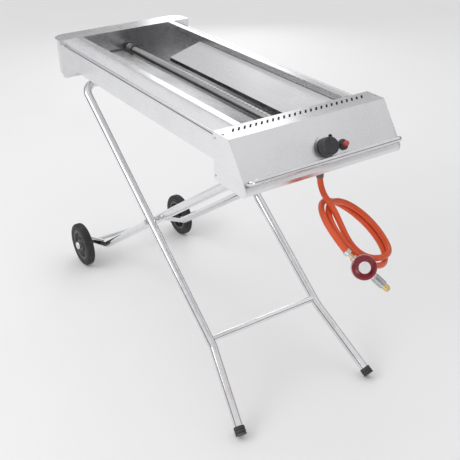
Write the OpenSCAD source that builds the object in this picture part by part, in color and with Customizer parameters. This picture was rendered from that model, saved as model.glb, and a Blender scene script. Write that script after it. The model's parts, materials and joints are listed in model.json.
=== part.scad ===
// Folding gas barbecue on a wheeled trolley: a stainless firebox with a long
// burner, a control box at the near end, crossed leg frames and a gas hose.
// +X runs along the firebox to the control box, +Z is up, and the origin is on
// the floor under the middle of the whole barbecue.

/* [Firebox] */
// Height of the top edge above the floor
top_z = 875; // [800:1:950]
// X of the firebox's near end, where the control box starts
near_x = 472; // [460:1:490]
// Length of the firebox
firebox_len = 923; // [880:1:925]
// Width over the firebox walls
firebox_w = 350; // [340:1:360]
// Depth of the firebox
firebox_d = 122; // [118:1:126]
// Sheet thickness
sheet = 1.5; // [1:0.1:2]
// Width of the flat top flange along each wall
flange_w = 20; // [16:1:24]
// Depth of the lip inside each top flange
lip_d = 17; // [10:1:20]

/* [Deflectors and burner] */
// Height of a deflector's top corner above the firebox floor
deflector_rise = 109; // [100:1:110]
// Distance of a deflector's lower edge from the middle
deflector_gap = 43; // [36:1:60]
// Height of a deflector's lower edge below the top
deflector_low = 50; // [45:1:60]
// Length of the right deflector, which stops short of the far end
right_deflector_len = 709; // [600:1:720]
// Burner tube diameter
burner_d = 25; // [22:1:28]
// Height of the burner below the top edge
burner_drop = 58; // [54:1:62]
// Number of burner slots
burner_slots = 46; // [20:1:60]

/* [Control box] */
// Width of the control box
box_w = 465; // [450:1:480]
// Height of the control box
box_h = 124; // [122:1:126]
// Depth of the flat top strip
strip_d = 67; // [60:1:70]
// How far the front panel's lower edge stands from the firebox
panel_foot_d = 135; // [130:1:140]
// Drop of the front panel from the top edge to its lower edge
panel_drop = 107; // [104:1:110]
// Number of vent slots
vents = 25; // [15:1:27]
// Spacing of the vent slots
vent_pitch = 16.1; // [15:0.1:16.5]
// Length of a vent slot
vent_len = 21; // [12:1:22]
// Width of a vent slot
vent_w = 4.5; // [3:0.5:5]
// Angle between a vent slot and the length of the barbecue
vent_slant = 38; // [0:1:45]
// Diameter of the front handle bar
handle_d = 14; // [12:1:16]
// Stand-off of the handle bar from the panel
handle_off = 26; // [24:1:30]
// Diameter of the side rails
rail_d = 14; // [12:1:16]
// Distance of a side rail from the middle
rail_y = 212; // [205:1:215]

/* [Leg frames] */
// Tube diameter of both leg frames
leg_d = 26; // [22:1:28]
// Wall of the leg tubes
leg_wall = 1.5; // [1:0.1:2]
// Height of the hinge bar, where the front leg frame folds
hinge_z = 734; // [730:1:736]
// Distance of the hinge bar from the near end of the firebox
hinge_back = 879; // [870:1:890]
// Distance of the leg crossing from the near end of the firebox
pivot_back = 458; // [450:1:470]
// Height of the leg crossing
pivot_z = 422; // [415:1:430]
// Distance of each front leg from the middle
front_leg_y = 188; // [186:1:190]
// Distance of each front foot from the middle
foot_y = 230; // [220:1:235]
// Distance of each rear leg from the middle
rear_leg_y = 160; // [158:1:160]
// Wheel diameter
wheel_d = 160; // [150:1:160]
// Wheel width
wheel_w = 30; // [26:1:32]
// Distance of the wheel axle from the near end of the firebox
axle_back = 1017; // [1010:1:1025]
// Distance of each wheel's middle plane from the middle
wheel_y = 207; // [205:1:210]

/* [Gas] */
// Hose diameter
hose_d = 15; // [14:0.5:16]
// Radius of the hose loops
loop_r = 97; // [90:1:110]
// Diameter of the regulator's body
regulator_d = 60; // [56:1:72]

/* [Hidden] */

$fn = 48;
lap = 1;             // how far a straight tube runs into a bend
swell = 0.15;        // how much a bend is thicker than the straights, so their skins cross
fit = 0.05;          // radial running clearance
gap = 0.5;           // clearance between neighbouring loose pieces

far_x = near_x - firebox_len;
floor_z = top_z - firebox_d;
wall_y = firebox_w / 2;
burner_z = top_z - burner_drop;
leg_r = leg_d / 2;

// Front panel plane: its top corner, and unit vectors down the slope and outward
panel_top = [near_x + strip_d, top_z];
panel_foot = [near_x + panel_foot_d, top_z - panel_drop];
panel_len = norm(panel_foot - panel_top);
panel_down = (panel_foot - panel_top) / panel_len;
panel_out = [-panel_down[1], panel_down[0]];
panel_tilt = atan2(panel_out[0], panel_out[1]);

// Places on the front panel: distance down the slope, and Y
knob_s = 77.5;
knob_y = 14.5;
igniter_s = 82;
igniter_y = 65;
sight_s = 55;
sight_y = 37;
rail_bore = rail_d - 2;
stud_d = 6;
handle_s = 109;
handle_y = 222;
handle_bend = 14;
tube_wall = 1.5;     // wall of the handle, the crossbar and the tie bar

knob_d = 47.5;
knob_h = 22;
knob_gap = 4;        // travel of the sprung knob before it meets the panel
spindle_d = 8;
igniter_d = 27;
button_d = 12;
button_out = 20;

// Leg geometry in side view
hinge = [near_x - hinge_back, hinge_z];
pivot = [near_x - pivot_back, pivot_z];
leg_dir = (pivot - hinge) / norm(pivot - hinge);
leg_tilt = acos(-leg_dir[1]);
top_peg = [near_x, hinge_z];
rear_dir = (top_peg - pivot) / norm(top_peg - pivot);
axle = [near_x - axle_back, wheel_d / 2];
tail_bend_x = near_x - 893;
tail_bend = pivot + rear_dir * (tail_bend_x - pivot[0]) / rear_dir[0];
crossbar_z = 179;
crossbar = hinge + leg_dir * (crossbar_z - hinge[1]) / leg_dir[1];
tail_bend_r = 100;
bar_bend = 45;       // bend radius of the hinge bar's corners
cap_r = 16;
cap_len = 24;
cap_end_z = 12.94;   // puts the tilted cap's lowest corner on the floor
foot_end = hinge + leg_dir * (cap_end_z - hinge[1]) / leg_dir[1];
crossbar_d = 20;
bolt_d = 8;
boss_h = 0.9;        // how far a pivot bush stands out of its tube
cap_floor = 4;
peg_d = 12;
tie_d = 20;
tie_s = 135;         // distance of the tie bar from the top pegs
axle_d = 12;
hub_bore_r = axle_d / 2 + fit;

// Gas line: where the hose leaves the box and how its loops lie
inlet = [near_x + 108, 0];
nozzle_end = 747;
loop_centre = [681, 50, 619];
loop_tilt = 40;
loop_turn = 46;
loop_top = 2;        // upper and lower faces of the closed ring around the loops
loop_bottom = -31;
hose_r = hose_d / 2;
lead_route = [
    [580, 0, 747], [580, 0, 738], [582, -1, 729], [586, -2, 720], [594, -4, 711],
    [608, -8, 702], [630, -12, 695], [656, -16, 684], [673, -15, 666], [690, -14, 646],
    [708, -13, 627], [726, -6, 608], [740, 9, 592], [747, 31, 580], [747, 57, 571],
    [740, 82, 565], [728, 104, 561], [708, 122, 560], [683, 132, 567]
];
tail_route = [
    [586, 19, 669], [607, -13, 680], [638, -38, 681], [674, -54, 672], [710, -58, 654],
    [730, -55, 638], [745, -49, 624], [749, -46, 620]
];
regulator_at = [782, -25, 591];
spigot_r = 6;
spigot_end = 78;
nose_r = 8;
regulator_turn = [52, 37, 33];

// ---------- 2D and path helpers ----------
function unit(v) = v / norm(v);
function side(v) = [-v[1], v[0]];
function into(p, i) = unit(p[max(i, 1)] - p[max(i, 1) - 1]);
function onward(p, i) = unit(p[min(i, len(p) - 2) + 1] - p[min(i, len(p) - 2)]);
function shifted(p, i, t) =
    let (a = side(into(p, i)), b = side(onward(p, i)))
    p[i] + (a + b) * t / (1 + a * b);
function folded_sheet(p, t) = concat(p, [for (i = [len(p) - 1:-1:0]) shifted(p, i, t)]);
function arc(c, r, a0, a1, n = 8) =
    [for (i = [0:n]) let (a = a0 + (a1 - a0) * i / n) c + r * [cos(a), sin(a)]];
function on_panel(s, off) = panel_top + panel_down * s + panel_out * off;
function xz(p, y) = [p[0], y, p[1]];

// Extrudes a Y-Z profile along X, from x0 to x1
module along_x(x0, x1) {
    translate([x0, 0, 0]) rotate([90, 0, 90]) linear_extrude(x1 - x0) children();
}

// Extrudes an X-Z profile along Y, from y0 to y1
module along_y(y0, y1) {
    translate([0, y1, 0]) rotate([90, 0, 0]) linear_extrude(y1 - y0) children();
}

// A round bar between two points
module rod(a, b, r) {
    v = b - a;
    translate(a)
        rotate([0, acos(v[2] / norm(v)), atan2(v[1], v[0])])
            cylinder(h = norm(v), r = r);
}

// Round bars joined by balls along a list of points
module bent_rod(points, r) {
    for (i = [1:len(points) - 1]) rod(points[i - 1], points[i], r);
    for (i = [1:1:len(points) - 2]) translate(points[i]) sphere(r * 1.05);
}

// A bar bent in the XY plane through points, with rounded corners; trim shortens its ends
function turn(p, i) =
    let (a = into(p, i), b = onward(p, i)) atan2(a[0] * b[1] - a[1] * b[0], a * b);
function corner_run(p, i, bend) = bend * tan(abs(turn(p, i)) / 2);

module bent_bar(points, bend, r, trim = 0) {
    last = len(points) - 1;
    for (i = [1:last]) {
        a = points[i - 1];
        d = into(points, i);
        from = i == 1 ? trim : corner_run(points, i - 1, bend) - lap;
        to = norm(points[i] - a) - (i == last ? trim : corner_run(points, i, bend) - lap);
        translate([a[0] + d[0] * from, a[1] + d[1] * from, 0])
            rotate([0, 90, atan2(d[1], d[0])])
                cylinder(h = to - from, r = r);
    }
    for (i = [1:1:last - 1]) {
        t = turn(points, i);
        d = into(points, i);
        centre = points[i] - d * corner_run(points, i, bend) + side(d) * bend * sign(t);
        first = t > 0 ? atan2(-d[0], d[1]) : atan2(d[0], -d[1]) + t;
        translate([centre[0], centre[1], 0])
            rotate([0, 0, first])
                rotate_extrude(angle = abs(t)) translate([bend, 0]) circle(r + swell);
    }
}

// Frame standing on the front panel: +Z out of the panel, +X down its slope
module on_front(s, y) {
    translate(xz(on_panel(s, 0), y)) rotate([0, panel_tilt, 0]) children();
}

// A hexagon nut or head, across_flats wide, along +Z
module hexagon(across_flats, h) {
    cylinder(h = h, r = across_flats / 2 / cos(30), $fn = 6);
}

// A coarse hose through points: one closed skin of rings, square to the path
module hose(points, r, sides = 10) {
    n = len(points);
    tangent = [for (i = [0:n - 1]) unit(points[min(i + 1, n - 1)] - points[max(i - 1, 0)])];
    across = [for (t = tangent) unit(cross(t, abs(t[1]) > 0.9 ? [1, 0, 0] : [0, 1, 0]))];
    skin = [
        for (i = [0:n - 1]) for (k = [0:sides - 1])
            let (a = 360 * k / sides)
            points[i] + r * (cos(a) * across[i] + sin(a) * cross(tangent[i], across[i]))
    ];
    walls = [
        for (i = [0:n - 2]) for (k = [0:sides - 1])
            let (j = (k + 1) % sides)
            [i * sides + k, (i + 1) * sides + k, (i + 1) * sides + j, i * sides + j]
    ];
    ends = [[for (k = [0:sides - 1]) k], [for (k = [sides - 1:-1:0]) (n - 1) * sides + k]];
    polyhedron(skin, concat(walls, ends), convexity = 6);
}

// ---------- Firebox ----------
module firebox_shell() {
    half = [
        [-wall_y + flange_w, top_z - lip_d],
        [-wall_y + flange_w, top_z],
        [-wall_y, top_z],
        [-wall_y, floor_z]
    ];
    other = [for (i = [3:-1:0]) [-half[i][0], half[i][1]]];
    color("silver")
        along_x(far_x + sheet, near_x)
            polygon(folded_sheet(concat(half, other), sheet));
}

module far_end_panel() {
    half_w = 235;
    corner = 12;
    shelf = 72;
    shelf_corner = 45;
    side_lip = 20;
    bottom = concat(
        arc([-half_w + corner, floor_z + corner], corner, 180, 270),
        arc([half_w - corner, floor_z + corner], corner, 270, 360)
    );
    rim = concat(
        arc([far_x - shelf + shelf_corner, half_w - shelf_corner], shelf_corner, 90, 180),
        arc([far_x - shelf + shelf_corner, shelf_corner - half_w], shelf_corner, 180, 270)
    );
    color("silver") {
        difference() {
            along_x(far_x, far_x + sheet)
                polygon(concat([[-half_w, top_z]], bottom, [[half_w, top_z]]));
            for (y = [-rail_y, rail_y])
                translate([far_x - 1, y, rail_z]) rotate([0, 90, 0]) cylinder(h = 4, d = stud_d);
        }
        translate([0, 0, top_z - sheet])
            linear_extrude(sheet)
                polygon(concat([[far_x + sheet, half_w]], rim, [[far_x + sheet, -half_w]]));
        for (s = [-1, 1])
            translate([far_x - side_lip, s * (half_w - sheet / 2) - sheet / 2, floor_z + 15])
                cube([side_lip + sheet, sheet, firebox_d - 15 - sheet / 2]);
    }
}

rail_z = top_z - 23;

module near_end_wall() {
    color("silver")
        difference() {
            translate([near_x, -box_w / 2 + sheet, top_z - box_h + sheet])
                cube([sheet, box_w - 2 * sheet, box_h - 2 * sheet]);
            translate([near_x - 1, 0, burner_z]) rotate([0, 90, 0]) cylinder(h = 4, d = burner_d);
            for (y = [-rail_y, rail_y])
                translate([near_x - 1, y, rail_z]) rotate([0, 90, 0]) cylinder(h = 4, d = stud_d);
        }
}

// One deflector wing on the left; the right one is its mirror image
module deflector(x0) {
    inner = wall_y - sheet;
    path = [
        [-inner, floor_z + deflector_rise - 14],
        [-inner, floor_z + deflector_rise],
        [-deflector_gap, top_z - deflector_low],
        [-deflector_gap, top_z - deflector_low - 12]
    ];
    along_x(x0, near_x) polygon(folded_sheet(path, -sheet));
}

module left_deflector() {
    color("gainsboro") deflector(far_x + sheet);
}

module right_deflector() {
    color("gainsboro") mirror([0, 1, 0]) deflector(near_x - right_deflector_len);
}

// ---------- Burner and gas line inside the control box ----------
burner_x0 = far_x + 24;
burner_x1 = near_x + 16;

module burner_tube() {
    slot_pitch = (burner_x1 - burner_x0 - 100) / burner_slots;
    color("lightgray")
        difference() {
            translate([burner_x0, 0, burner_z]) rotate([0, 90, 0])
                cylinder(h = burner_x1 - burner_x0, d = burner_d);
            translate([burner_x0 + 2, 0, burner_z]) rotate([0, 90, 0])
                cylinder(h = burner_x1 - burner_x0, d = burner_d - 3);
            for (i = [0:burner_slots - 1])
                translate([burner_x0 + 40 + i * slot_pitch, -7, burner_z + 5]) cube([2, 14, 10]);
        }
}

// Angle bracket that carries the burner's closed end on the far panel
module burner_bracket() {
    x0 = far_x + sheet;
    color("silver")
        difference() {
            union() {
                translate([x0, -16, burner_z - 30]) cube([2, 32, 46]);
                translate([x0, -16, burner_z - 30]) cube([32, 32, 2]);
                translate([burner_x0 - 5, 0, burner_z]) rotate([0, 90, 0])
                    cylinder(h = 10, d = burner_d + 6);
                translate([burner_x0 - 5, -4, burner_z - 29]) cube([10, 8, 18]);
            }
            translate([burner_x0, 0, burner_z]) rotate([0, 90, 0])
                cylinder(h = 10, d = burner_d);
        }
}

// Wire clip hooked over the burner and resting on the left deflector
module burner_clip() {
    wire = 2;
    x = burner_x0 + 24;
    ring_r = burner_d / 2 + wire;
    over = wire * 1.3;    // clears the deflector under the wire
    foot = [x + 60, -110, deflector_top(110) + over];
    color("dimgray") {
        translate([x, 0, burner_z]) rotate([90, 0, 90])
            rotate_extrude(angle = 180) translate([ring_r, 0]) circle(wire, $fn = 16);
        bent_rod([
            [x, -ring_r, burner_z],
            [x, -deflector_gap, deflector_top(deflector_gap) + over],
            foot
        ], wire);
    }
}

// Height of a deflector's upper face at a distance from the middle
function deflector_top(y) =
    let (run = wall_y - sheet - deflector_gap, rise = deflector_rise + deflector_low - firebox_d)
    top_z - deflector_low + (y - deflector_gap) * rise / run;

module venturi() {
    x = burner_x1 - 8;
    color("lightgray")
        difference() {
            translate([x, 0, burner_z]) rotate([0, 90, 0]) cylinder(h = 34, d = burner_d + 7);
            translate([x - 1, 0, burner_z]) rotate([0, 90, 0]) cylinder(h = 9, d = burner_d);
            translate([x, 0, burner_z]) rotate([0, 90, 0]) cylinder(h = 33, d = burner_d - 3);
            translate([x + 30, 0, burner_z]) rotate([0, 90, 0]) cylinder(h = 6, d = 10);
            for (s = [-1, 1])
                translate([x + 14, s * 14 - 4, burner_z - 4]) cube([12, 8, 8]);
        }
}

valve_at = on_panel(knob_s, -24);
injector_x = burner_x1 + 24;

module injector() {
    color("goldenrod") {
        translate([injector_x, 0, burner_z]) rotate([0, 90, 0]) cylinder(h = 14, d = 10);
        translate([injector_x + 14, 0, burner_z]) rotate([0, 90, 0]) hexagon(12, 5);
    }
}

module valve_body() {
    color("darkgray")
        difference() {
            union() {
                on_front(knob_s, knob_y)
                    translate([0, 0, -38]) cylinder(h = 38 - sheet, d = 24);
                rod([injector_x + 19, 0, burner_z], xz(valve_at, knob_y) - [6, 0, 0], 5);
            }
            on_front(knob_s, knob_y)
                translate([0, 0, -32]) cylinder(h = 34, d = spindle_d + 2 * fit);
        }
}

module supply_pipe() {
    z0 = top_z - box_h + sheet + 7;
    z1 = on_panel(knob_s, -37)[1];
    reach = norm([on_panel(knob_s, -37)[0] - inlet[0], knob_y]);
    path = [[0, z0], [0, z0 + 16], [reach, z1]];
    color("goldenrod")
        translate([inlet[0], 0, 0])
            rotate([90, 0, atan2(knob_y, on_panel(knob_s, -37)[0] - inlet[0])])
                bent_bar(path, 10, 4);
}

// Threaded elbow through the box floor with a plain hose stem below
module gas_inlet() {
    z = top_z - box_h;
    color("goldenrod") {
        translate([inlet[0], 0, z + sheet]) hexagon(17, 7);
        translate([inlet[0], 0, z - 1]) cylinder(h = 12, d = 11.9);
        translate([inlet[0], 0, z - 3]) hexagon(17, 3);
        translate([inlet[0], 0, nozzle_end]) cylinder(h = z - 3 - nozzle_end, d = 12);
    }
}

module spark_electrode() {
    x = near_x - 40;
    color("white") translate([x, 26, burner_z + 2]) rotate([0, 90, 0]) cylinder(h = 46, d = 6);
    color("gray") bent_rod([
        [x, 26, burner_z + 2],
        [x - 8, 26, burner_z + 2],
        [x - 14, 15, burner_z + 4]
    ], 1);
}

module ignition_lead() {
    tail = xz(on_panel(igniter_s, -34), igniter_y);
    color("black")
        bent_rod([
            [near_x + 6, 26, burner_z + 2],
            [near_x + 24, 34, burner_z],
            [near_x + 40, 52, burner_z - 14],
            tail - [6, 0, 6],
            tail
        ], 1.5);
}

// ---------- Control box ----------
module control_panel() {
    path = [
        [near_x + sheet, top_z],
        panel_top,
        panel_foot,
        panel_foot + [-3, -11],
        panel_foot + [-14, -14.5]
    ];
    color("silver")
        difference() {
            along_y(-box_w / 2 + sheet, box_w / 2 - sheet)
                polygon(folded_sheet(path, -sheet));
            for (i = [0:vents - 1])
                translate([near_x + 25, (i - (vents - 1) / 2) * vent_pitch, top_z])
                    rotate([0, 0, -vent_slant])
                        cube([vent_len, vent_w, 8], center = true);
            on_front(knob_s, knob_y) translate([0, 0, -4]) cylinder(h = 8, d = spindle_d + 6);
            on_front(igniter_s, igniter_y) translate([0, 0, -4]) cylinder(h = 8, d = igniter_d - 5);
            on_front(sight_s, sight_y) translate([0, 0, -4]) cylinder(h = 8, d = 12);
            for (y = [-handle_y, handle_y])
                on_front(handle_s, y) translate([0, 0, -4]) cylinder(h = 8, d = handle_d);
        }
}

module box_floor() {
    color("silver")
        difference() {
            translate([near_x, -box_w / 2 + sheet, top_z - box_h])
                cube([panel_foot_d - 15, box_w - 2 * sheet, sheet]);
            translate([inlet[0], 0, top_z - box_h - 1]) cylinder(h = 4, d = 12);
        }
}

module cheek() {
    r = 17;
    z0 = top_z - box_h;
    corner = [near_x + panel_foot_d - r + 1, z0 + r];
    along_y(0, sheet)
        polygon(concat(
            [[near_x, z0], [near_x, top_z]],
            arc(panel_top + [-5, -6], 6, 90, 90 - panel_tilt, 4),
            arc(corner, r, panel_tilt - 30, -90)
        ));
}

module left_cheek() {
    color("darkgray") translate([0, -box_w / 2, 0]) cheek();
}

module right_cheek() {
    color("darkgray") translate([0, box_w / 2 - sheet, 0]) cheek();
}

// Pan-head screws: two low on each cheek's rear edge, one on each end of the strip
module cheek_screws() {
    color("whitesmoke") {
        for (s = [-1, 1]) for (z = [top_z - 15, top_z - 110])
            translate([near_x + 7, s * box_w / 2, z]) rotate([-s * 90, 0, 0]) screw_head();
        for (s = [-1, 1])
            translate([near_x + 33, s * (box_w / 2 - 6), top_z]) screw_head();
    }
}

module screw_head() {
    rotate_extrude() polygon([[0, 0], [3.5, 0], [3.2, 1.2], [2.2, 2], [0, 2.3]]);
}

// U-shaped bar: two stubs out of the panel, two bends and a long straight
module front_handle() {
    path = [
        [-handle_y, -sheet], [-handle_y, handle_off],
        [handle_y, handle_off], [handle_y, -sheet]
    ];
    color("whitesmoke")
        on_front(handle_s, 0) rotate([90, 0, 90]) difference() {
            bent_bar(path, handle_bend, handle_d / 2);
            bent_bar(path, handle_bend, handle_d / 2 - tube_wall, -1);
        }
}

// Side rail: a plain tube with a washer against the far panel
module rail(y) {
    color("whitesmoke")
        translate([far_x + sheet, y, rail_z]) rotate([0, 90, 0]) difference() {
            union() {
                cylinder(h = firebox_len - sheet, d = rail_d);
                cylinder(h = 3, d = rail_d + 8);
            }
            translate([0, 0, -1]) cylinder(h = firebox_len + 2, d = rail_bore);
        }
}

module left_rail() { rail(-rail_y); }

module right_rail() { rail(rail_y); }

// Four identical end fixings: an insert in the rail's end, a stud and its nut
module rail_studs() {
    insert = 18;
    color("silver")
        for (y = [-rail_y, rail_y]) for (s = [-1, 1])
            translate([s < 0 ? far_x + sheet : near_x, y, rail_z]) rotate([0, s * 90, 0]) {
                translate([0, 0, -insert]) cylinder(h = insert, d = rail_bore);
                cylinder(h = sheet + 8, d = stud_d);
                translate([0, 0, sheet]) hexagon(10, 5);
            }
}

// ---------- Fixings between the firebox and the legs ----------
// Two saddle brackets under the far end; the hinge bar turns in their bores
module hinge_brackets() {
    drop = floor_z - hinge_z;
    color("silver")
        for (s = [-1, 1]) translate([hinge[0], s * 100 - 12, 0]) {
            difference() {
                union() {
                    translate([0, 24, hinge_z]) rotate([90, 0, 0])
                        cylinder(h = 24, r = leg_r + 4);
                    translate([-leg_r - 4, 0, hinge_z]) cube([leg_d + 8, 24, drop]);
                    translate([-36, 0, floor_z - 3]) cube([72, 24, 3]);
                }
                translate([0, 25, hinge_z]) rotate([90, 0, 0]) cylinder(h = 26, r = leg_r + fit);
            }
        }
}

// Two blocks under the firebox's near end: a pad over each rear leg's peg and a
// stop behind it. The front is open, so that the peg slides out as the legs fold.
module leg_rests() {
    pad_x = near_x - 14;
    peg_top = hinge_z + peg_d / 2 + gap;
    color("silver")
        for (s = [-1, 1])
            translate([0, s * (rear_leg_y - leg_r - 19) - 7, 0]) {
                translate([near_x - 40, 0, floor_z - 3]) cube([40, 14, 3]);
                translate([pad_x, 0, peg_top]) cube([14, 14, floor_z - 3 - peg_top]);
            }
}

// Back stops below the rests: the pegs come up against them from the front
module leg_stops() {
    peg_top = hinge_z + peg_d / 2 + gap;
    color("silver")
        for (s = [-1, 1])
            translate([near_x - 14, s * (rear_leg_y - leg_r - 19) - 7, hinge_z - 5])
                cube([7, 14, peg_top - hinge_z + 5]);
}

// ---------- Controls ----------
module igniter_body() {
    color("black")
        on_front(igniter_s, igniter_y) difference() {
            union() {
                cylinder(h = 3, d = igniter_d);
                translate([0, 0, 3]) cylinder(h = 4, d1 = igniter_d - 3, d2 = igniter_d - 8);
                translate([0, 0, -34]) cylinder(h = 34, d = igniter_d - 5);
            }
            translate([0, 0, -14]) cylinder(h = 30, d = button_d + 2 * fit);
        }
}

module igniter_button() {
    color("red")
        on_front(igniter_s, igniter_y) {
            translate([0, 0, -6]) cylinder(h = button_out + 4.5, d = button_d);
            translate([0, 0, button_out - 1.5]) cylinder(h = 1.5, d1 = button_d, d2 = button_d - 3);
        }
}

module valve_spindle() {
    color("silver")
        on_front(knob_s, knob_y)
            translate([0, 0, -26]) cylinder(h = 26 + knob_gap + 8, d = spindle_d);
}

// Round knob with a shallow grip rim, a skirt and a raised pointer
module control_knob() {
    color("dimgray")
        on_front(knob_s, knob_y) translate([0, 0, knob_gap]) difference() {
            union() {
                rotate_extrude() polygon(concat(
                    [[0, 0], [knob_d / 2, 0], [knob_d / 2, 3]],
                    arc([knob_d / 2 - 5, knob_h - 3], 3, 0, 90, 5),
                    [[0, knob_h]]
                ));
                translate([-knob_d / 2 + 4, -1.5, knob_h - 1]) cube([14, 3, 2]);
            }
            translate([0, 0, -1]) cylinder(h = 9.5, d = spindle_d + 2 * fit);
        }
}

// ---------- Front leg frame ----------
// Both frames are drawn flat. This one lies in the plane of its legs: X is the
// barbecue's Y, and Y points up the legs to the hinge bar.
crossbar_run = norm(crossbar - hinge);
splay_run = crossbar_run + 22;
foot_run = norm(foot_end - hinge);
foot_dir = unit([foot_y - front_leg_y, splay_run - foot_run]);
front_path = [
    [-foot_y, -foot_run] - [-foot_dir[0], foot_dir[1]] * cap_floor,
    [-front_leg_y, -splay_run],
    [-front_leg_y, 0],
    [front_leg_y, 0],
    [front_leg_y, -splay_run],
    [foot_y, -foot_run] - foot_dir * cap_floor
];

module in_front_frame() {
    translate(xz(hinge, 0)) rotate([0, -leg_tilt, 0]) rotate([90, 0, 90]) children();
}

// A bush across a leg tube, and the bolt's hole through both
module bushed(y, bore_r) {
    difference() {
        union() {
            children();
            translate(xz(pivot, y + leg_r + boss_h)) rotate([90, 0, 0])
                cylinder(h = leg_d + 2 * boss_h, r = bolt_d / 2 + 4);
        }
        translate(xz(pivot, y + leg_d)) rotate([90, 0, 0]) cylinder(h = 2 * leg_d, r = bore_r);
    }
}

module front_leg_frame() {
    color("whitesmoke")
        bushed(-front_leg_y, bolt_d / 2) bushed(front_leg_y, bolt_d / 2)
            in_front_frame() difference() {
                bent_bar(front_path, bar_bend, leg_r);
                bent_bar(front_path, bar_bend, leg_r - leg_wall, -1);
            }
}

module front_leg_crossbar() {
    color("whitesmoke")
        difference() {
            rod(xz(crossbar, -front_leg_y), xz(crossbar, front_leg_y), crossbar_d / 2);
            rod(xz(crossbar, -front_leg_y), xz(crossbar, front_leg_y), crossbar_d / 2 - tube_wall);
            for (s = [-1, 1])
                in_front_frame() translate([s * front_leg_y, -crossbar_run - 20, 0])
                    rotate([-90, 0, 0]) cylinder(h = 40, r = leg_r);
        }
}

// Rubber cap over a leg's end: ribbed outside, with a closed floor
module foot_cap(s) {
    in_front_frame()
        translate([s * foot_y, -foot_run, 0])
            rotate([0, 0, atan2(-foot_dir[1], -s * foot_dir[0])])
                rotate([0, 90, 0]) difference() {
                    union() {
                        cylinder(h = cap_len, r = cap_r - 0.8);
                        for (z = [0, 8, 16]) translate([0, 0, z]) cylinder(h = 4, r = cap_r);
                    }
                    translate([0, 0, cap_floor]) cylinder(h = cap_len, r = leg_r);
                }
}

module left_foot_cap() {
    color("dimgray") foot_cap(-1);
}

module right_foot_cap() {
    color("dimgray") foot_cap(1);
}

// Each pivot bolt: head outside the front leg, shank through both tubes, nut inside
module pivot_bolts() {
    outer = front_leg_y + leg_r + boss_h;
    inner = rear_leg_y - leg_r - boss_h;
    color("silver")
        for (s = [-1, 1]) translate(xz(pivot, 0)) rotate([s * -90, 0, 0]) {
            translate([0, 0, inner - gap - 6]) hexagon(13, 6);
            translate([0, 0, inner - gap - 1]) cylinder(h = outer - inner + gap + 2, d = bolt_d);
            translate([0, 0, outer]) cylinder(h = 1.5, r = 9);
            translate([0, 0, outer + 1.5]) hexagon(13, 5);
        }
}

// ---------- Rear leg frame ----------
tail = axle + unit(axle - tail_bend) * (leg_r + 3);
rear_path = [top_peg + rear_dir * 3, tail_bend, tail];

module rear_leg(y) {
    color("whitesmoke")
        difference() {
            bushed(y, bolt_d / 2 + fit)
                translate([0, y, 0]) rotate([90, 0, 0]) difference() {
                    bent_bar(rear_path, tail_bend_r, leg_r);
                    bent_bar(rear_path, tail_bend_r, leg_r - leg_wall, -1);
                }
            translate(xz(axle, y + leg_r + 1)) rotate([90, 0, 0])
                cylinder(h = leg_d + 2, d = axle_d);
        }
}

module rear_leg_left() { rear_leg(-rear_leg_y); }

module rear_leg_right() { rear_leg(rear_leg_y); }

// Straight stretch of a rear leg's outside, for the parts welded to it
module rear_leg_outside(y, s) {
    at = top_peg - rear_dir * s;
    rod(xz(at - rear_dir * 40, y), xz(at + rear_dir * 40, y), leg_r);
}

module rear_leg_tie() {
    at = top_peg - rear_dir * tie_s;
    color("whitesmoke")
        difference() {
            rod(xz(at, -rear_leg_y), xz(at, rear_leg_y), tie_d / 2);
            rod(xz(at, -rear_leg_y), xz(at, rear_leg_y), tie_d / 2 - tube_wall);
            rear_leg_outside(-rear_leg_y, tie_s);
            rear_leg_outside(rear_leg_y, tie_s);
        }
}

module rear_leg_pegs() {
    color("silver")
        for (s = [-1, 1])
            difference() {
                translate(xz(top_peg, 0)) rotate([s * -90, 0, 0])
                    translate([0, 0, rear_leg_y - leg_r - 24]) cylinder(h = 30, d = peg_d);
                rear_leg_outside(s * rear_leg_y, 0);
            }
}

// A plug in each open end of the rear legs
module rear_leg_plug(at, dir, y) {
    a = xz(at, y);
    d = xz(dir, 0);
    rod(a - d * 12, a + d * 1, leg_r - leg_wall);
    rod(a, a + d * 2, leg_r);
}

module rear_leg_plugs() {
    color("dimgray")
        for (y = [-rear_leg_y, rear_leg_y]) {
            rear_leg_plug(rear_path[0], rear_dir, y);
            rear_leg_plug(tail, unit(axle - tail_bend), y);
        }
}

axle_end = wheel_y + wheel_w / 2 + 6;

module wheel_axle() {
    color("silver") rod(xz(axle, -axle_end), xz(axle, axle_end), axle_d / 2);
}

// Domed cap pressed on the axle's end
module axle_cap(s) {
    color("gainsboro")
        translate(xz(axle, 0)) rotate([s * -90, 0, 0])
            translate([0, 0, axle_end - 4]) difference() {
                rotate_extrude() polygon(concat(
                    [[0, 0], [12, 0], [15, 2]],
                    arc([9, 2], 6, 15, 90, 5),
                    [[0, 8]]
                ));
                translate([0, 0, -1]) cylinder(h = 5, d = axle_d);
            }
}

module left_axle_cap() { axle_cap(-1); }

module right_axle_cap() { axle_cap(1); }

hub_r = 56;

// Frame at a wheel's middle, +Z pointing away from the barbecue
module at_wheel(s) {
    translate(xz(axle, s * wheel_y)) rotate([s * -90, 0, 0]) children();
}

module tyre(s) {
    r = wheel_d / 2;
    w = wheel_w / 2;
    color("dimgray")
        at_wheel(s) rotate_extrude() polygon(concat(
            [[hub_r, -w + 3], [hub_r, w - 3], [hub_r + 4, w]],
            arc([r - 9, w - 9], 9, 90, 0),
            arc([r - 9, 9 - w], 9, 0, -90),
            [[hub_r + 4, -w]]
        ));
}

module left_tyre() { tyre(-1); }

module right_tyre() { tyre(1); }

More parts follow.
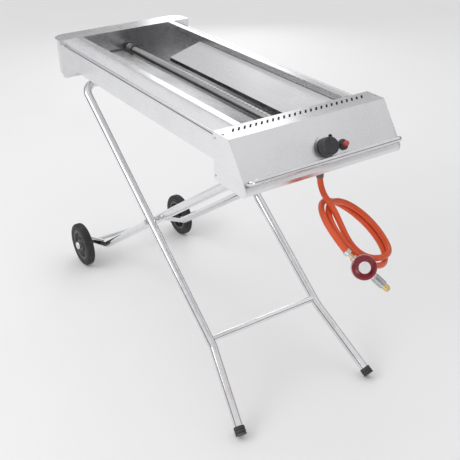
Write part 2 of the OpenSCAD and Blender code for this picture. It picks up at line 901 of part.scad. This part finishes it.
// Hub disc with a recess ring on the outside, ribs inside and a long boss on the axle
module wheel_hub(s) {
    w = wheel_w / 2;
    inner_face = wheel_y - rear_leg_y - leg_r - 3;
    color("gray")
        at_wheel(s) difference() {
            union() {
                rotate_extrude() polygon([
                    [hub_bore_r, -inner_face], [14, -inner_face], [16, -4], [hub_r - 8, -4],
                    [hub_r - 8, 3 - w], [hub_r, 3 - w], [hub_r, w - 3], [hub_r - 8, w - 3],
                    [hub_r - 14, 4], [28, 4], [22, w - 3], [hub_bore_r, w - 3]
                ]);
                for (a = [0:60:300])
                    rotate([0, 0, a]) translate([15, -2, -12]) cube([hub_r - 20, 4, 10]);
            }
            cylinder(h = 80, r = hub_bore_r, center = true);
        }
}

module left_wheel_hub() { wheel_hub(-1); }

module right_wheel_hub() { wheel_hub(1); }

// ---------- Hose and regulator ----------
module inlet_clamp() {
    color("darkslategray")
        translate([inlet[0], 0, nozzle_end - 11]) difference() {
            cylinder(h = 10, r = hose_r + 1.8);
            translate([0, 0, -1]) cylinder(h = 12, r = hose_r - 0.5);
        }
}

module hose_lead() {
    color("tomato") hose(lead_route, hose_r);
}

// The hose's loops as one closed ring: two turns side by side
module hose_loops() {
    corner = hose_r - 3;
    color("tomato")
        translate(loop_centre) rotate([0, loop_tilt, loop_turn])
            rotate_extrude() polygon([
                [loop_r - hose_r, loop_bottom + corner], [loop_r - 3, loop_bottom],
                [loop_r + 3, loop_bottom], [loop_r + hose_r, loop_bottom + corner],
                [loop_r + hose_r, loop_top - corner], [loop_r + 3, loop_top],
                [loop_r - 3, loop_top], [loop_r - hose_r, loop_top - corner]
            ]);
}

module hose_tail() {
    color("tomato") hose(tail_route, hose_r);
}

// Frame at the regulator's middle: +X along the gas line to the bottle, +Z its dial
module at_regulator() {
    translate(regulator_at) rotate(regulator_turn) children();
}

// A cylinder along the regulator's gas line from x0 to x1
module on_line(x0, x1, r) {
    translate([x0, 0, 0]) rotate([0, 90, 0]) cylinder(h = x1 - x0, r = r);
}

module regulator_clamp() {
    color("silver") at_regulator() {
        difference() {
            on_line(-57, -47, hose_r + 1.8);
            on_line(-58, -46, hose_r - 0.5);
        }
        translate([-57, -2, hose_r + 1]) cube([10, 9, 6]);
    }
}

module regulator_body() {
    r = regulator_d / 2;
    color("firebrick") at_regulator() {
        rotate_extrude() polygon([[0, -11], [r - 8, -11], [r - 2, -5], [r, -2], [r, 6], [0, 6]]);
        difference() {
            on_line(-r - 5, 0, 9);
            on_line(-r - 6, -r, 5);
        }
        on_line(0, r + 4, 9.5);
    }
    color("goldenrod") at_regulator() on_line(-46, -r, 5);
}

// Cover with a raised rim and a dished middle
module regulator_dome() {
    r = regulator_d / 2;
    color("darkred") at_regulator()
        rotate_extrude() polygon([
            [0, 6], [r - 1, 6], [r - 1, 9], [r - 3, 11], [r - 5, 11], [r - 7, 10], [15, 12],
            [0, 12]
        ]);
}

module regulator_badge() {
    color("white") at_regulator() translate([0, 0, 12]) cylinder(h = 1.5, r = 14);
}

// Fixed brass spigot that goes into the gas bottle's valve
module bottle_spigot() {
    r = regulator_d / 2;
    color("goldenrod") at_regulator() difference() {
        union() {
            on_line(r + 4, spigot_end - 16, spigot_r);
            on_line(spigot_end - 17, spigot_end - 5, nose_r);
            translate([spigot_end - 5, 0, 0]) rotate([0, 90, 0])
                cylinder(h = 5, r1 = nose_r, r2 = nose_r - 3);
        }
        on_line(r, spigot_end + 1, 2);
    }
}

// Wing nut that turns on the spigot and screws on the bottle
module bottle_nut() {
    r = regulator_d / 2;
    x0 = r + 4 + gap;
    color("silver") at_regulator() difference() {
        union() {
            on_line(x0, x0 + 26, 10.5);
            translate([x0 + 4, -2.5, -19]) cube([12, 5, 38]);
        }
        on_line(x0 - 1, x0 + 27, spigot_r + fit);
    }
}

firebox_shell();
far_end_panel();
near_end_wall();
left_deflector();
right_deflector();
burner_tube();
burner_bracket();
burner_clip();
venturi();
injector();
valve_body();
supply_pipe();
gas_inlet();
spark_electrode();
ignition_lead();
control_panel();
box_floor();
left_cheek();
right_cheek();
cheek_screws();
front_handle();
left_rail();
right_rail();
rail_studs();
hinge_brackets();
leg_rests();
leg_stops();
igniter_body();
igniter_button();
valve_spindle();
control_knob();
front_leg_frame();
front_leg_crossbar();
left_foot_cap();
right_foot_cap();
pivot_bolts();
rear_leg_left();
rear_leg_right();
rear_leg_tie();
rear_leg_pegs();
rear_leg_plugs();
wheel_axle();
left_axle_cap();
right_axle_cap();
left_tyre();
left_wheel_hub();
right_tyre();
right_wheel_hub();
inlet_clamp();
hose_lead();
hose_loops();
hose_tail();
regulator_clamp();
regulator_body();
regulator_dome();
regulator_badge();
bottle_spigot();
bottle_nut();
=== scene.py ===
import json
import math

import bpy
from mathutils import Euler, Matrix, Vector


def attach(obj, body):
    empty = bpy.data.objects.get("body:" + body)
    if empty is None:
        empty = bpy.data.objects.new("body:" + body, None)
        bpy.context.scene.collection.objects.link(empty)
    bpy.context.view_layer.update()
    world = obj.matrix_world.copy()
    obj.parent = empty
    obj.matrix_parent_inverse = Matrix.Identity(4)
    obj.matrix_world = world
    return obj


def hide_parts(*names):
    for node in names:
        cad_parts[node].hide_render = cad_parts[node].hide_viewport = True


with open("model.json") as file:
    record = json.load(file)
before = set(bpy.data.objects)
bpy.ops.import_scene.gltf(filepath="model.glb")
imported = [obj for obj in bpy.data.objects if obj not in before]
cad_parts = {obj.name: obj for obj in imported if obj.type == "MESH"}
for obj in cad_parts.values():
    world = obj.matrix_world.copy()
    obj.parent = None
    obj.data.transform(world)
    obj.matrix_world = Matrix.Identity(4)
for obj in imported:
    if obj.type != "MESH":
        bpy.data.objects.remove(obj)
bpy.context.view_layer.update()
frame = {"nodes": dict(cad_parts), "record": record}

nodes = frame["nodes"]
scene = bpy.context.scene

# ---------------------------------------------------------------- camera
CAMERA_AT = (1.9324, -1.1045, 1.5603)
cam_data = bpy.data.cameras.new("camera")
cam = bpy.data.objects.new("camera", cam_data)
scene.collection.objects.link(cam)
right = Vector((0.5433, 0.8394, -0.0185))
up = Vector((-0.3994, 0.2778, 0.8738))
back = right.cross(up).normalized()
up = back.cross(right).normalized()
turned = Matrix((right.normalized(), up, back)).transposed().to_4x4()
cam.matrix_world = Matrix.Translation(CAMERA_AT) @ turned
cam_data.lens = 62.0
cam_data.sensor_width = 36.0
cam_data.sensor_fit = "HORIZONTAL"
cam_data.shift_x = -0.0087
cam_data.shift_y = -0.0013
cam_data.clip_start = 0.05
cam_data.clip_end = 60
scene.camera = cam
scene.view_settings.view_transform = "Standard"

# ---------------------------------------------------------------- material helpers
MATERIALS = {}

# Pointiness rises between these two values on outer edges, which get a painted highlight
EDGE_LOW = 0.52
EDGE_HIGH = 0.60
# How strongly the painted edge highlight lightens the colour
EDGE_HIGHLIGHT = 0.5

# The colour sockets of a Mix node that is set to colours
MIX_ONE = 6
MIX_TWO = 7
MIX_RESULT = 2


def fresh_tree(material):
    """Clears a material and returns its tree, a maker of nodes and its Principled node."""
    material.use_nodes = True
    tree = material.node_tree
    tree.nodes.clear()

    def make(kind, **values):
        node = tree.nodes.new(kind)
        for key, value in values.items():
            setattr(node, key, value)
        return node

    out = make("ShaderNodeOutputMaterial")
    shader = make("ShaderNodeBsdfPrincipled")
    tree.links.new(shader.outputs[0], out.inputs[0])
    return tree, make, shader


def noise(tree, make, scale, stretch=(1, 1, 1), detail=5.0, rough=0.6):
    """A noise on the object's own coordinates, finer along an axis with a larger stretch."""
    where = make("ShaderNodeTexCoord")
    place = make("ShaderNodeMapping")
    place.inputs["Scale"].default_value = stretch
    tex = make("ShaderNodeTexNoise")
    tex.inputs["Scale"].default_value = scale
    tex.inputs["Detail"].default_value = detail
    tex.inputs["Roughness"].default_value = rough
    tree.links.new(where.outputs["Object"], place.inputs["Vector"])
    tree.links.new(place.outputs[0], tex.inputs["Vector"])
    return tex.outputs["Fac"]


def ramp(tree, make, source, low, high, a=0.0, b=1.0):
    """Maps a value from low..high to a..b, clamped."""
    r = make("ShaderNodeMapRange")
    r.inputs["From Min"].default_value = low
    r.inputs["From Max"].default_value = high
    r.inputs["To Min"].default_value = a
    r.inputs["To Max"].default_value = b
    tree.links.new(source, r.inputs["Value"])
    return r.outputs[0]


def mixed(tree, make, fac, one, two):
    """Mixes two colours, each a colour or a socket, by a socket."""
    m = make("ShaderNodeMix", data_type="RGBA")
    tree.links.new(fac, m.inputs[0])
    for socket, value in ((m.inputs[MIX_ONE], one), (m.inputs[MIX_TWO], two)):
        if isinstance(value, tuple):
            socket.default_value = (*value, 1)
        else:
            tree.links.new(value, socket)
    return m.outputs[MIX_RESULT]


def added(tree, make, one, two):
    """The sum of two sockets."""
    m = make("ShaderNodeMath", operation="ADD")
    tree.links.new(one, m.inputs[0])
    tree.links.new(two, m.inputs[1])
    return m.outputs[0]


def painted_edge_highlight(tree, make):
    """A mask for the outer edges, where a painted highlight lightens the colour."""
    g = make("ShaderNodeNewGeometry")
    m = make("ShaderNodeMath", operation="MULTIPLY")
    tree.links.new(ramp(tree, make, g.outputs["Pointiness"], EDGE_LOW, EDGE_HIGH), m.inputs[0])
    m.inputs[1].default_value = EDGE_HIGHLIGHT
    return m.outputs[0]


def bumped(tree, make, shader, height, strength, distance):
    """Gives a shader a bump from a height socket; distance is in metres."""
    b = make("ShaderNodeBump")
    b.inputs["Strength"].default_value = strength
    b.inputs["Distance"].default_value = distance
    tree.links.new(height, b.inputs["Height"])
    tree.links.new(b.outputs[0], shader.inputs["Normal"])


def metal(name, colour, dark, rough, grain, bump=0.06, stain=0.25):
    """Brushed or polished metal: long grain, soft smudges, and a painted highlight on the outer
    edges.
    """
    material = bpy.data.materials.new(name)
    tree, make, shader = fresh_tree(material)
    fine = noise(tree, make, 1.0, grain, detail=4.0, rough=0.65)
    cloud = noise(tree, make, 7.0)
    speck = noise(tree, make, 160.0, detail=3.0, rough=0.7)
    tint = mixed(tree, make, ramp(tree, make, fine, 0.3, 0.7), dark, colour)
    smudge = ramp(tree, make, cloud, 0.45, 0.75, 0.0, stain)
    tint = mixed(tree, make, smudge, tint, tuple(c * 0.72 for c in dark))
    tint = mixed(tree, make, ramp(tree, make, speck, 0.66, 0.74, 0.0, 0.25), tint, dark)
    # Painted highlight: the outer edges are lightened as if they caught the light
    edge_highlight = tuple(min(1.0, c * 1.12) for c in colour)
    tint = mixed(tree, make, painted_edge_highlight(tree, make), tint, edge_highlight)
    tree.links.new(tint, shader.inputs["Base Color"])
    brushed = ramp(tree, make, fine, 0.25, 0.75, rough * 0.8, rough * 1.3)
    handled = ramp(tree, make, cloud, 0.4, 0.8, 0.0, 0.12)
    tree.links.new(added(tree, make, brushed, handled), shader.inputs["Roughness"])
    shader.inputs["Metallic"].default_value = 1.0
    bumped(tree, make, shader, fine, bump, 0.001)
    MATERIALS[name] = material


def plastic(name, colour, dust_and_highlight, rough, grain=900.0, bump=0.15, coat=0.0, dust=0.2):
    """Moulded plastic, rubber or paint: fine texture, dust in patches and a painted highlight on
    the edges.
    """
    material = bpy.data.materials.new(name)
    tree, make, shader = fresh_tree(material)
    fine = noise(tree, make, grain, detail=4.0, rough=0.7)
    cloud = noise(tree, make, 22.0, rough=0.65)
    hollows = tuple(c * 0.8 for c in colour)
    tint = mixed(tree, make, ramp(tree, make, fine, 0.3, 0.75), hollows, colour)
    tint = mixed(tree, make, ramp(tree, make, cloud, 0.48, 0.8, 0.0, dust), tint, dust_and_highlight)
    # Painted highlight: the outer edges take the lighter colour as if they caught the light
    tint = mixed(tree, make, painted_edge_highlight(tree, make), tint, dust_and_highlight)
    tree.links.new(tint, shader.inputs["Base Color"])
    r = ramp(tree, make, cloud, 0.3, 0.8, rough * 0.85, min(1.0, rough * 1.25))
    tree.links.new(r, shader.inputs["Roughness"])
    shader.inputs["Coat Weight"].default_value = coat
    shader.inputs["Coat Roughness"].default_value = 0.12
    bumped(tree, make, shader, fine, bump, 0.0006)
    MATERIALS[name] = material


# ---------------------------------------------------------------- the record's materials
# Metals: their colour, and the darker colour between the grain
metal("sheet_steel", (0.80, 0.80, 0.81), (0.71, 0.71, 0.72),
      rough=0.22, grain=(5, 700, 700), bump=0.03, stain=0.16)
metal("deflector_steel", (0.66, 0.66, 0.67), (0.54, 0.54, 0.55),
      rough=0.20, grain=(5, 600, 600), bump=0.03, stain=0.22)
metal("burner_steel", (0.50, 0.50, 0.50), (0.30, 0.30, 0.30),
      rough=0.28, grain=(30, 260, 260), stain=0.5)
metal("spring_wire", (0.20, 0.18, 0.17), (0.10, 0.08, 0.07),
      rough=0.45, grain=(200, 200, 200))
metal("polished_tube", (0.82, 0.82, 0.83), (0.72, 0.72, 0.74),
      rough=0.08, grain=(60, 60, 60), bump=0.015, stain=0.12)
metal("zinc_steel", (0.66, 0.67, 0.68), (0.50, 0.51, 0.53),
      rough=0.30, grain=(220, 220, 220), bump=0.1)
metal("brass", (0.80, 0.62, 0.30), (0.58, 0.40, 0.16),
      rough=0.24, grain=(300, 300, 300), bump=0.08, stain=0.4)
metal("valve_metal", (0.62, 0.62, 0.62), (0.46, 0.46, 0.47),
      rough=0.45, grain=(240, 240, 240), bump=0.3)
metal("cap_steel", (0.84, 0.84, 0.85), (0.70, 0.70, 0.72),
      rough=0.12, grain=(160, 160, 160), bump=0.03)
metal("regulator_casting", (0.74, 0.60, 0.60), (0.58, 0.42, 0.43),
      rough=0.34, grain=(260, 260, 260), bump=0.2)
metal("nut_steel", (0.50, 0.51, 0.52), (0.30, 0.31, 0.32),
      rough=0.28, grain=(260, 260, 260), bump=0.15, stain=0.45)

# Plastics and rubbers: their colour, and the lighter colour of their dust and of the painted
# highlight on their edges
plastic("dark_clamp", (0.045, 0.045, 0.048), (0.20, 0.20, 0.20), rough=0.38)
plastic("porcelain", (0.86, 0.84, 0.78), (0.70, 0.64, 0.54),
        rough=0.18, grain=500.0, bump=0.04, coat=0.4)
plastic("lead_sleeve", (0.05, 0.05, 0.05), (0.16, 0.15, 0.14), rough=0.6)
plastic("black_plastic", (0.025, 0.025, 0.028), (0.12, 0.12, 0.12), rough=0.42)
plastic("red_plastic", (0.72, 0.025, 0.02), (0.82, 0.16, 0.12),
        rough=0.25, grain=700.0, bump=0.05, coat=0.5)
plastic("knob_plastic", (0.040, 0.041, 0.046), (0.14, 0.14, 0.145), rough=0.40)
plastic("foot_rubber", (0.03, 0.03, 0.032), (0.17, 0.16, 0.15),
        rough=0.72, grain=700.0, bump=0.3)
plastic("wheel_tyre", (0.016, 0.016, 0.018), (0.20, 0.19, 0.18),
        rough=0.66, grain=700.0, bump=0.3, dust=0.3)
plastic("wheel_plastic", (0.035, 0.035, 0.038), (0.15, 0.15, 0.15), rough=0.5)
plastic("hose_orange", (0.86, 0.105, 0.022), (0.86, 0.20, 0.08),
        rough=0.36, grain=1100.0, bump=0.10, dust=0.22)
plastic("regulator_red", (0.22, 0.003, 0.012), (0.34, 0.02, 0.03),
        rough=0.22, grain=500.0, bump=0.05, coat=0.25, dust=0.08)
plastic("label_white", (0.93, 0.93, 0.93), (0.80, 0.80, 0.79),
        rough=0.42, bump=0.05, coat=0.2)

for part in frame["record"]["subparts"]:
    mesh = nodes[part["node"]].data
    mesh.materials.clear()
    mesh.materials.append(MATERIALS[part["material_slot"]])

# The regulator's barb is brass, while its casting is pale. It points backward along the
# regulator's own line, slim at its root beside the casting, and further back it stands alone.
REGULATOR_AT = Vector((0.782, -0.025, 0.591))
REGULATOR_TURN = Euler((math.radians(52), math.radians(37), math.radians(33))).to_matrix()
REGULATOR_LINE = REGULATOR_TURN @ Vector((1, 0, 0))
BARB_ROOT = -0.030
BARB_ALONE = -0.0355
BARB_R = 0.0056
BRASS_INDEX = 1

casting = nodes["regulator_body"].data
casting.materials.append(MATERIALS["brass"])
for face in casting.polygons:
    from_middle = face.center - REGULATOR_AT
    along = from_middle.dot(REGULATOR_LINE)
    off_line = (from_middle - REGULATOR_LINE * along).length
    if along < BARB_ALONE or (along < BARB_ROOT and off_line < BARB_R):
        face.material_index = BRASS_INDEX

# ---------------------------------------------------------------- gas hose
# The route's points are in millimetres, as in the CAD model. Angles round the loops are in
# degrees, and run on past 360 into the second turn.
HOSE_R = 0.0075
HOSE_SIDES = 24
LEAD = [
    (580, 0, 747), (580, 0, 738), (582, -1, 729), (586, -2, 720), (594, -4, 711),
    (608, -8, 702), (630, -12, 695), (656, -16, 684), (673, -15, 666), (690, -14, 646),
    (708, -13, 627), (726, -6, 608), (740, 9, 592), (747, 31, 580), (747, 57, 571),
    (740, 82, 565), (728, 104, 561), (708, 122, 560),
]
TAIL = [(745, -49, 624), (749, -46, 620)]
LOOP_CENTRE = Vector((681, 50, 619))
LOOP_TURN = Euler((0, math.radians(40), math.radians(46))).to_matrix()
LOOP_R = 97.0
LOOP_PITCH = 15.8

# The angle where the first turn is level with the centre, and the angles of the route's points
LOOP_LEVEL = 10
LOOP_FIRST = 35
LOOP_LAST = 595
LOOP_STEP = 20

# Where the second turn starts to swing to the outside of the first, the angle that it takes,
# and how far outside it ends
SWING_FROM = 420
SWING_OVER = 180
SWUNG_OUT = 19.5

# How finely the line through the points is sampled, the step of its own points, and how often
# it is relaxed
SAMPLES_PER_SPAN = 10
LINE_STEP = 3.0
RELAX_PASSES = 16


def eased(t):
    """A smooth step from 0 to 1."""
    t = min(max(t, 0.0), 1.0)
    return t * t * (3 - 2 * t)


def loop_point(a):
    """The hose's middle on its loops: the second turn swings from behind the first to outside."""
    r = LOOP_R
    z = -LOOP_PITCH * (a - LOOP_LEVEL) / 360
    if a > SWING_FROM:
        grown = eased((a - SWING_FROM) / SWING_OVER)
        off = LOOP_PITCH + (SWUNG_OUT - LOOP_PITCH) * grown
        r += off * math.sin(math.radians(90 * grown))
        first_turn = -LOOP_PITCH * (a - 360 - LOOP_LEVEL) / 360
        z = first_turn - off * math.cos(math.radians(90 * grown))
    flat = Vector((r * math.cos(math.radians(a)), r * math.sin(math.radians(a)), z))
    return LOOP_CENTRE + LOOP_TURN @ flat


def through(points):
    """A smooth, evenly spaced line through points (Catmull-Rom, then relaxed)."""
    p = [2 * points[0] - points[1], *points, 2 * points[-1] - points[-2]]
    dense = []
    for i in range(1, len(p) - 2):
        a, b, c, d = p[i - 1:i + 3]
        for k in range(SAMPLES_PER_SPAN):
            t = k / SAMPLES_PER_SPAN
            dense.append(
                0.5 * (2 * b + (c - a) * t + (2 * a - 5 * b + 4 * c - d) * t * t
                       + (3 * b - a - 3 * c + d) * t ** 3)
            )
    dense.append(points[-1])
    out = [dense[0]]
    for b in dense[1:]:
        while (b - out[-1]).length >= LINE_STEP:
            out.append(out[-1] + (b - out[-1]).normalized() * LINE_STEP)
    out[-1] = dense[-1]
    for _ in range(RELAX_PASSES):
        old = list(out)
        for i in range(1, len(out) - 1):
            out[i] = 0.25 * old[i - 1] + 0.5 * old[i] + 0.25 * old[i + 1]
    return out


def new_piece(name, verts, faces, body, slot):
    """Makes a mesh piece that rides on a body, with the finish of a material slot."""
    mesh = bpy.data.meshes.new(name)
    mesh.from_pydata([tuple(v) for v in verts], [], faces)
    mesh.update()
    mesh.shade_smooth()
    piece = bpy.data.objects.new(name, mesh)
    scene.collection.objects.link(piece)
    mesh.materials.append(MATERIALS[slot])
    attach(piece, body)
    return piece


def skinned(rings, sides):
    """The faces of a closed skin over rings of points, laid out ring after ring."""
    faces = []
    for i in range(rings - 1):
        for k in range(sides):
            j = (k + 1) % sides
            faces.append((i * sides + k, i * sides + j, (i + 1) * sides + j, (i + 1) * sides + k))
    faces.append(tuple(range(sides - 1, -1, -1)))
    faces.append(tuple((rings - 1) * sides + k for k in range(sides)))
    return faces


def tube(line, radius, sides):
    """A closed round skin along a line, carried without twist."""
    verts = []
    t = (line[1] - line[0]).normalized()
    across = t.cross(Vector((0, 1, 0))).normalized()
    last = len(line) - 1
    for i, p in enumerate(line):
        t = (line[min(i + 1, last)] - line[max(i - 1, 0)]).normalized()
        across = (across - t * across.dot(t)).normalized()
        other = t.cross(across)
        for k in range(sides):
            a = math.tau * k / sides
            verts.append(p + radius * (math.cos(a) * across + math.sin(a) * other))
    return verts, skinned(len(line), sides)


route = [Vector(p) for p in LEAD]
route += [loop_point(a) for a in range(LOOP_FIRST, LOOP_LAST + 1, LOOP_STEP)]
route += [Vector(p) for p in TAIL]
middle = [p / 1000 for p in through(route)]
hose = new_piece("gas_hose", *tube(middle, HOSE_R, HOSE_SIDES), "grill", "hose_orange")
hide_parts("hose_lead", "hose_loops", "hose_tail")

# ---------------------------------------------------------------- knob's printed scale
# A plain arc beside the knob that widens from one end to the other. Its middle is given down
# and across the control panel; sizes are in millimetres and angles in degrees.
ARC_S = 77.5
ARC_Y = 14.5
ARC_R = 31
ARC_FROM = 200
ARC_SWEEP = 80
ARC_STEPS = 24
ARC_HALF_WIDTH = 0.25
ARC_WIDENS = 1.2
INK_BOTTOM = 0.02
INK_TOP = 0.12


def on_panel(s_mm, y_mm, off_mm):
    """A point on the sloping control panel: down its slope, across it, and out of it, in mm."""
    panel_top = Vector((0.539, 0, 0.875))
    down = Vector((0.068, 0, -0.107)).normalized()
    out = Vector((0.107, 0, 0.068)).normalized()
    return panel_top + down * s_mm / 1000 + Vector((0, y_mm / 1000, 0)) + out * off_mm / 1000


arc = []
for i in range(ARC_STEPS + 1):
    a = math.radians(ARC_FROM + ARC_SWEEP * i / ARC_STEPS)
    half = ARC_HALF_WIDTH + ARC_WIDENS * i / ARC_STEPS
    corners = (
        (ARC_R - half, INK_BOTTOM), (ARC_R + half, INK_BOTTOM),
        (ARC_R + half, INK_TOP), (ARC_R - half, INK_TOP),
    )
    for r, off in corners:
        arc.append(on_panel(ARC_S + r * math.cos(a), ARC_Y + r * math.sin(a), off))
new_piece("knob_scale", arc, skinned(ARC_STEPS + 1, 4), "grill", "black_plastic")

# ---------------------------------------------------------------- floor
bpy.ops.mesh.primitive_plane_add(size=60, location=(0, 0, -0.0005))
floor = bpy.context.object
floor.name = "floor"
paper = bpy.data.materials.new("floor_paper")
tree, make, shader = fresh_tree(paper)
cloud = ramp(tree, make, noise(tree, make, 1.5, detail=4.0, rough=0.5), 0.3, 0.7)
tint = mixed(tree, make, cloud, (0.93, 0.93, 0.93), (0.95, 0.95, 0.95))
tree.links.new(tint, shader.inputs["Base Color"])
shader.inputs["Roughness"].default_value = 0.9
floor.data.materials.append(paper)

# ---------------------------------------------------------------- studio light
# The sky's brightness by height, from 0 at the horizon to 1 overhead. The dark band low down
# is there for the steel to reflect.
SKY_BANDS = [
    (0.0, 0.45), (0.03, 0.04), (0.19, 0.05), (0.25, 0.66),
    (0.34, 0.50), (0.48, 0.92), (0.80, 0.9),
]
SKY_STRENGTH = 0.90

world = bpy.data.worlds.new("studio")
scene.world = world
world.use_nodes = True
sky = world.node_tree
sky.nodes.clear()
sky_out = sky.nodes.new("ShaderNodeOutputWorld")
background = sky.nodes.new("ShaderNodeBackground")
coord = sky.nodes.new("ShaderNodeTexCoord")
split = sky.nodes.new("ShaderNodeSeparateXYZ")
shade = sky.nodes.new("ShaderNodeValToRGB")
stops = shade.color_ramp.elements
for i, (height, value) in enumerate(SKY_BANDS):
    # A new ramp already has two stops
    stop = stops[i] if i < 2 else stops.new(height)
    stop.position = height
    stop.color = (value, value, value * 1.01, 1)
sky.links.new(coord.outputs["Generated"], split.inputs[0])
sky.links.new(split.outputs["Z"], shade.inputs[0])
sky.links.new(shade.outputs[0], background.inputs[0])
background.inputs[1].default_value = SKY_STRENGTH
sky.links.new(background.outputs[0], sky_out.inputs[0])


def area(name, place, aim, size, power):
    """A rectangular area light, in metres and watts, turned towards a point."""
    data = bpy.data.lights.new(name, "AREA")
    data.shape = "RECTANGLE"
    data.size, data.size_y = size
    data.energy = power
    lamp = bpy.data.objects.new(name, data)
    scene.collection.objects.link(lamp)
    lamp.location = place
    lamp.rotation_euler = (Vector(aim) - Vector(place)).to_track_quat("-Z", "Y").to_euler()


area("key", place=(-0.8, -2.8, 2.6), aim=(0, 0, 0.5), size=(2.4, 1.4), power=30)
area("fill", place=(2.6, -2.4, 0.9), aim=(0.3, 0, 0.4), size=(1.0, 1.4), power=10)
area("rim", place=(-2.8, 1.8, 1.6), aim=(0, 0, 0.6), size=(1.0, 2.4), power=9)
area("top", place=(-0.9, 0.6, 3.6), aim=(0, 0, 0.5), size=(0.8, 2.4), power=3)
